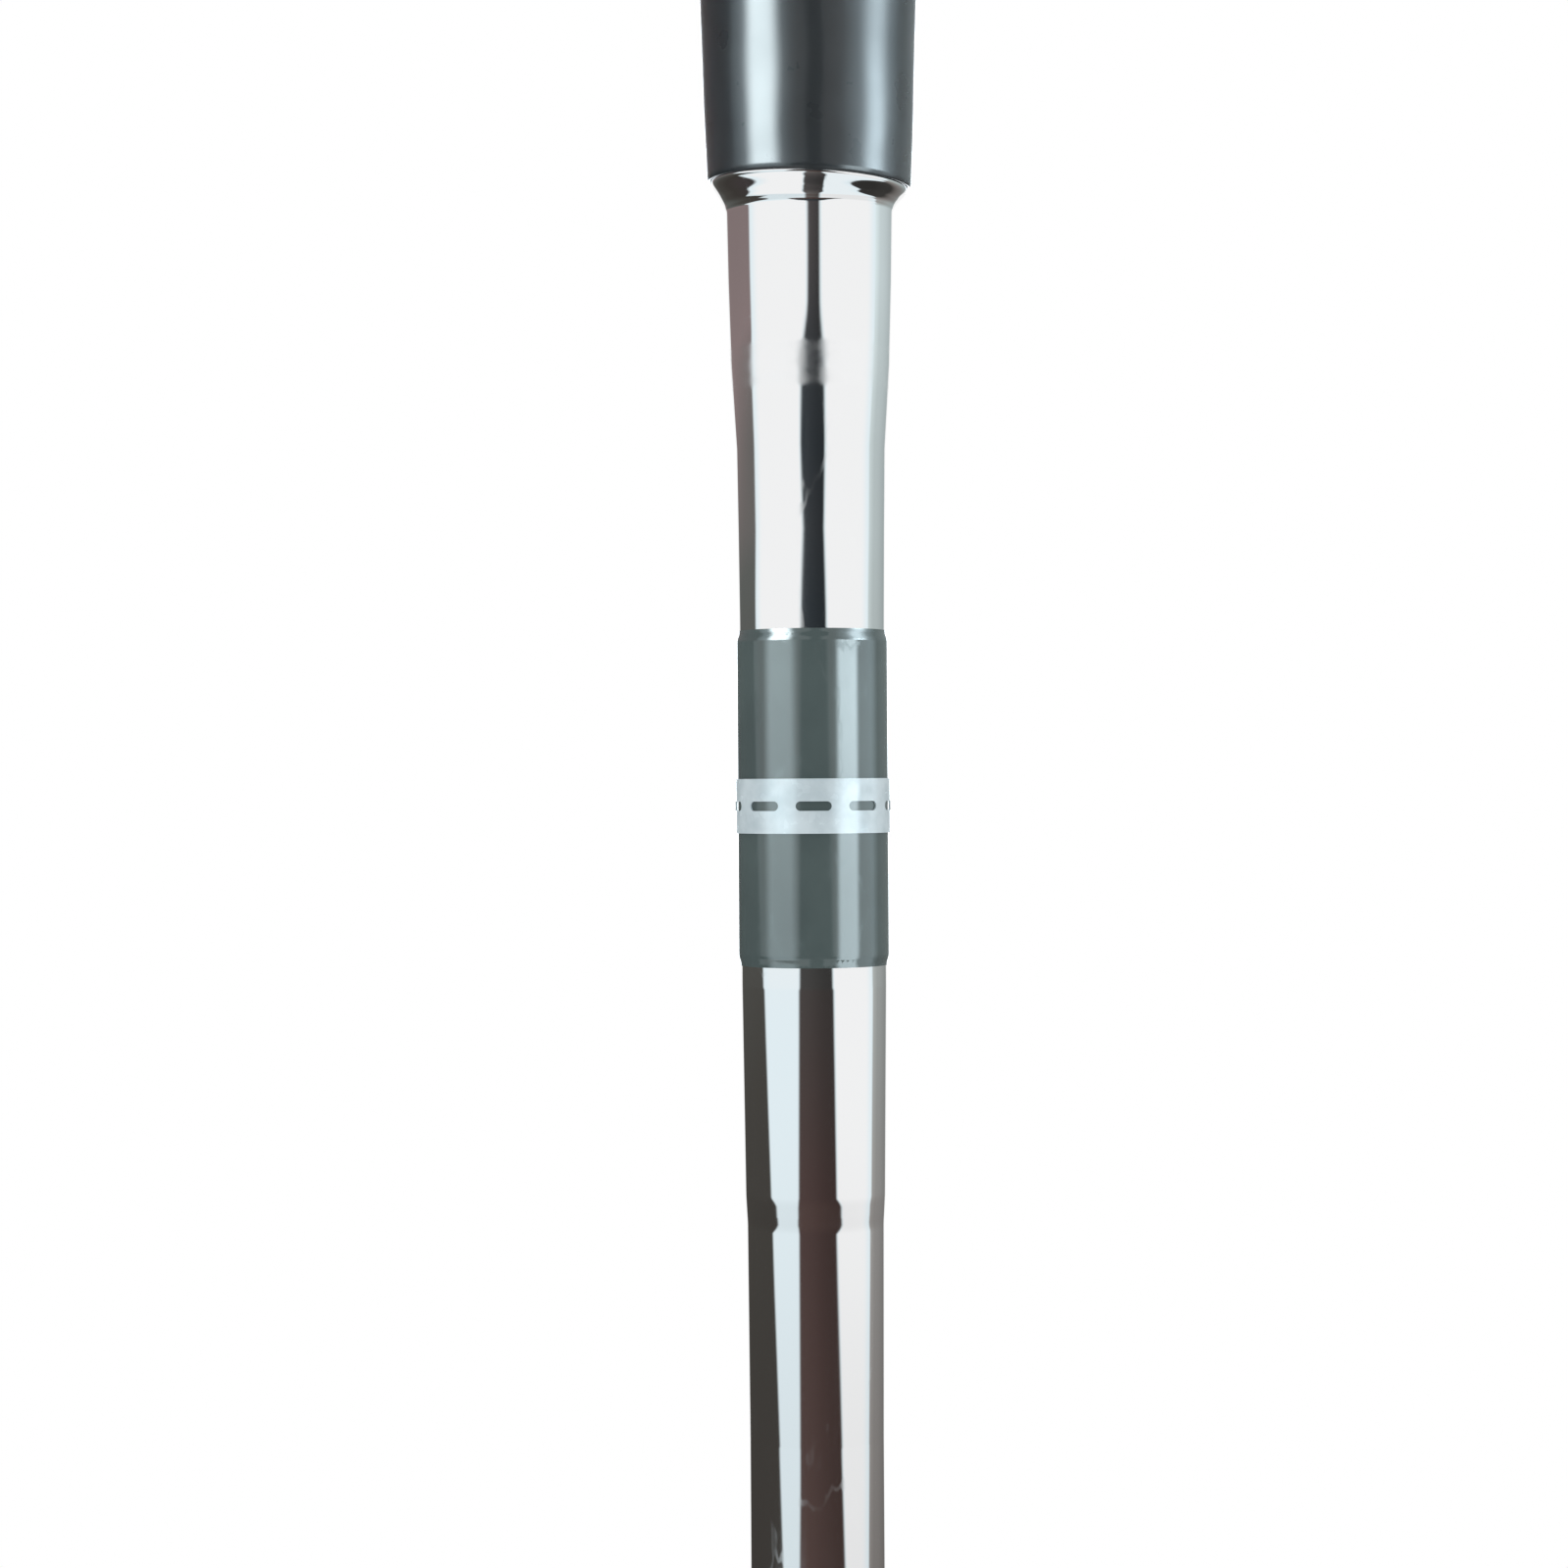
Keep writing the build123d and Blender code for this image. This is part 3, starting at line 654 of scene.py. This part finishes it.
def studio_world():
    """White to the camera and as fill light; in reflections grey above and dark below."""
    world = bpy.data.worlds.new("studio")
    world.use_nodes = True
    bpy.context.scene.world = world
    tree = world.node_tree
    nodes_of = tree.nodes
    coords = nodes_of.new("ShaderNodeTexCoord")
    split = nodes_of.new("ShaderNodeSeparateXYZ")
    tree.links.new(coords.outputs["Generated"], split.inputs[0])
    up = nodes_of.new("ShaderNodeMapRange")
    up.inputs["From Min"].default_value = -0.2
    up.inputs["From Max"].default_value = 0.3
    tree.links.new(split.outputs["Z"], up.inputs["Value"])
    seen = nodes_of.new("ShaderNodeMix")
    seen.data_type = "RGBA"
    tree.links.new(up.outputs[0], seen.inputs[0])
    seen.inputs[6].default_value = (0.045, 0.037, 0.033, 1)
    seen.inputs[7].default_value = (0.35, 0.36, 0.37, 1)
    path = nodes_of.new("ShaderNodeLightPath")
    mix = nodes_of.new("ShaderNodeMix")
    mix.data_type = "RGBA"
    tree.links.new(path.outputs["Is Glossy Ray"], mix.inputs[0])
    mix.inputs[6].default_value = (1, 1, 1, 1)
    tree.links.new(seen.outputs[2], mix.inputs[7])
    tree.links.new(mix.outputs[2], nodes_of["Background"].inputs["Color"])


def light_only(wall, objects):
    """The wall lights these objects and no others."""
    group = bpy.data.collections.new("lit_by_" + wall.name)
    for obj in objects:
        group.objects.link(obj)
    wall.light_linking.receiver_collection = group


def camera():
    """A level camera in front of the marker ring, turned a little about its own line of sight."""
    low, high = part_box("marker_ring")
    distance = LENS / SENSOR * VIEW_WIDTH
    data = bpy.data.cameras.new("camera")
    data.lens = LENS
    data.sensor_width = SENSOR
    data.clip_start = 0.01
    obj = bpy.data.objects.new("camera", data)
    bpy.context.scene.collection.objects.link(obj)
    place = Vector((-VIEW_LEFT_OF_AXIS, -distance, (low.z + high.z) / 2 + VIEW_ABOVE_RING))
    upright = Matrix.Rotation(math.radians(90), 4, "X")
    obj.matrix_world = Matrix.Translation(place) @ upright @ Matrix.Rotation(-VIEW_ROLL, 4, "Z")
    bpy.context.scene.camera = obj


# ---------------------------------------------------------------- pieces

def place_piece(obj, material, body, slot, *replaced):
    """Gives a drawn piece its material and body, and hides the CAD nodes that it stands for. The slot
    argument is not used.
    """
    obj.data.materials.append(material)
    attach(obj, body)
    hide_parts(*replaced)
    return obj


def mouth_lean(angle, above_mouth):
    """How far the grip's mouth, and the flare under it, hang down at each angle; none well away from it."""
    near = smooth(-2.6 * MM, 0, above_mouth) * (1 - smooth(0, 14 * MM, above_mouth))
    return MOUTH_LEAN * np.cos(angle) * near


def handle_tube(outside, mouth, material):
    """The plated tube at full smoothness, with its bore."""
    rows = thinned(outside, 80)
    bore = [(r - TUBE_WALL, z) for r, z in rows[::-4]]

    def shape(radius, height, angle):
        return radius, height - mouth_lean(angle, height - mouth)

    tube = turned("plated_handle_tube", [tuple(p) for p in rows] + bore, 256, shape)
    return place_piece(tube, material, "handle", "plated_steel", "handle_tube")


def mouth_wave(angle, up):
    """The slow waviness of the plain stretch above the grip's mouth, which bends its highlights."""
    plain = smooth(0.5 * MM, 4 * MM, up) * (1 - smooth(23 * MM, 29 * MM, up))
    wave = (
        np.sin(angle * 3 + up * 440) + 0.6 * np.sin(angle * 5 - up * 560 + 1.3)
        + 1.2 * np.sin(angle * 2 + up * 260 + 0.4)
    )
    return wave * plain * 0.02 * MM


def groove_share(angle, up):
    """How deep the ring grooves and the crossed ones between them are at each point, 0 to 1."""
    share = np.zeros_like(up)
    for groove in RING_GROOVES:
        share = np.maximum(share, 1 - smooth(0.3 * MM, 1.0 * MM, abs(up - groove * MM)))
    field = smooth(40 * MM, 43 * MM, up) * (1 - smooth(219 * MM, 222 * MM, up))
    pitch = TAU * GRIP_RADIUS / CROSSED_GROOVES
    for lean in (-CROSSED_LEAN, CROSSED_LEAN):
        line = (angle * GRIP_RADIUS + lean * up) / pitch
        away = abs(line - np.round(line)) * pitch
        share = np.maximum(share, field * (1 - smooth(0.25 * MM, 0.9 * MM, away)))
    return share


def grip(material):
    """Rubber grip: wavy glossy mouth with a rounded lip, ring grooves, crossed grooves and a thumb flat."""
    low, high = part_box("grip")
    outside = outer_outline("grip", 0.5 * MM)
    first = np.interp(low.z + LIP, outside[:, 1], outside[:, 0])
    turn = np.radians(np.linspace(0, 90, 8))
    rim = [(first - LIP_INSET * (1 - math.sin(t)), low.z + LIP * (1 - math.cos(t))) for t in turn]
    above = [tuple(p) for p in outside if p[1] > low.z + LIP + 0.2 * MM]
    outline = rim + above + [(GRIP_BORE, high.z), (GRIP_BORE, low.z + 0.2 * MM)]
    flat_high = high.z - low.z - FLAT_BELOW_TOP

    def shape(radius, height, angle):
        up = height - low.z
        outer = radius > GRIP_BORE + 0.02 * MM
        radius = radius + outer * mouth_wave(angle, up)
        radius = radius - outer * groove_share(angle, up) * GROOVE_DEPTH
        on_flat = smooth(FLAT_LOW - FLAT_SOFT, FLAT_LOW + FLAT_SOFT, up)
        on_flat = on_flat * (1 - smooth(flat_high - FLAT_SOFT, flat_high + FLAT_SOFT, up))
        toward = np.clip(-np.sin(angle), 0.02, 1)
        limit = (FLAT_Y + (1 - on_flat) * 4 * MM) / toward
        ribs = RIB_DEPTH * (np.sin(up * TAU / RIB_PITCH) > 0)
        radius = np.where(outer & (radius > limit), limit - ribs * on_flat, radius)
        return radius, height - mouth_lean(angle, up)

    piece = turned("moulded_grip", outline, 192, shape)
    return place_piece(piece, material, "handle", "grip_rubber", "grip")


def lock_nut(index, material):
    """A nut with soft scalloped flutes, a plain waist ring and rounded rims."""
    name = f"lock_nut_{index}"
    low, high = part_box(name)
    low.z += NUT_FOOT_GAP
    radii, heights = radii_and_heights(name)
    outer = radii.max()
    seat = radii[heights > high.z - 0.1 * MM].min()
    mouth = radii.min()
    cone_wide = outer - 2.3 * MM
    cone_narrow = outer - 3.3 * MM
    cone_top_z = high.z - 19.3 * MM
    cone_foot_z = low.z + 1.7 * MM
    waist = high.z - low.z - 2.6 * MM
    quarter = np.radians(np.linspace(0, 90, 7))
    foot = [(outer - 1.2 * MM * (1 - math.sin(t)), low.z + 2.5 * MM * (1 - math.cos(t))) for t in quarter]
    side = [(outer, z) for z in np.linspace(low.z + 2.9 * MM, high.z - 1.0 * MM, 56)]
    top = [(outer - 0.6 * MM * (1 - math.cos(t)), high.z - 0.8 * MM * (1 - math.sin(t))) for t in quarter]
    bore = [
        (seat, high.z), (seat, cone_top_z), (cone_wide, cone_top_z),
        (cone_narrow, cone_foot_z), (mouth, cone_foot_z), (mouth, low.z),
    ]

    def shape(radius, z, angle):
        up = z - low.z
        on_side = radius > outer - 0.05 * MM
        fluted = smooth(4.2 * MM, 5.6 * MM, up) * (1 - smooth(waist - 2.6 * MM, waist - 1.2 * MM, up))
        scallop = (0.5 - 0.5 * np.cos(angle * NUT_SCALLOPS)) ** 1.6
        ring = 1 - smooth(0.2 * MM, 0.6 * MM, abs(up - waist))
        return radius - on_side * (fluted * scallop * 0.42 + ring * 0.25) * MM, z

    piece = turned(f"fluted_nut_{index}", foot + side + top + bore, 216, shape)
    return place_piece(piece, material, name, "lock_plastic", name)


# ---------------------------------------------------------------- build

camera()
light_wall("studio_wall", WALL_RADIUS, wall_light, False)
cores = light_wall("lamp_cores", WALL_RADIUS * 0.99, core_light, True)
studio_floor()
studio_world()
bpy.context.scene.view_settings.view_transform = "Standard"

tube_outside = outer_outline("handle_tube", 0.1 * MM)
sleeve_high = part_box("marker_sleeve")[1]
grip_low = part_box("grip")[0].z
tube_outside = eased_below(tube_outside, sleeve_high.z, grip_low - 6 * MM, SWAGE_EASE)
swage_height = cone_top(tube_outside, sleeve_high.z + 10 * MM, grip_low - 10 * MM)
finishes = {
    "plated_steel": plated_steel(swage_height),
    "grip_rubber": grip_rubber(grip_low),
    "adhesive_tape": cloth_tape(),
    "cap_plastic": moulded("cap_plastic", (0.032, 0.032, 0.035), 0.5, 2200, 0.00005),
    "bumper_foam": foam("bumper_foam", (0.07, 0.07, 0.075)),
    "marker_grey": shrink_sleeve(),
    "marker_pale": marker_band(),
    "lock_plastic": moulded("lock_plastic", (0.032, 0.033, 0.036), 0.4, 2400, 0.00004),
    "collet_acetal": moulded("collet_acetal", (0.75, 0.74, 0.70), 0.35, 900, 0.000008, 0, 0.08),
    "seal_rubber": moulded("seal_rubber", (0.02, 0.02, 0.021), 0.5, 1200, 0.00002),
    "section_alloy": drawn_alloy(),
    "film_white": reflective_film("film_white", (0.80, 0.81, 0.80), (0.52, 0.53, 0.54)),
    "film_red": reflective_film("film_red", (0.50, 0.012, 0.012), (0.24, 0.006, 0.008)),
    "small_steel": moulded("small_steel", (0.5, 0.5, 0.51), 0.3, 900, 0.000004, 1.0),
    "roller_nylon": roller_nylon(),
}
slots = {row["node"]: row["material_slot"] for row in frame["record"]["subparts"]}
for name, node in nodes.items():
    node.data.materials.clear()
    node.data.materials.append(finishes[slots[name]])

made = [grip(finishes["grip_rubber"])]
made += [lock_nut(i, finishes["lock_plastic"]) for i in (1, 2, 3)]
handle_tube(tube_outside, grip_low, finishes["plated_steel"])
light_only(cores, made + [node for name, node in nodes.items() if slots[name] != "plated_steel"])
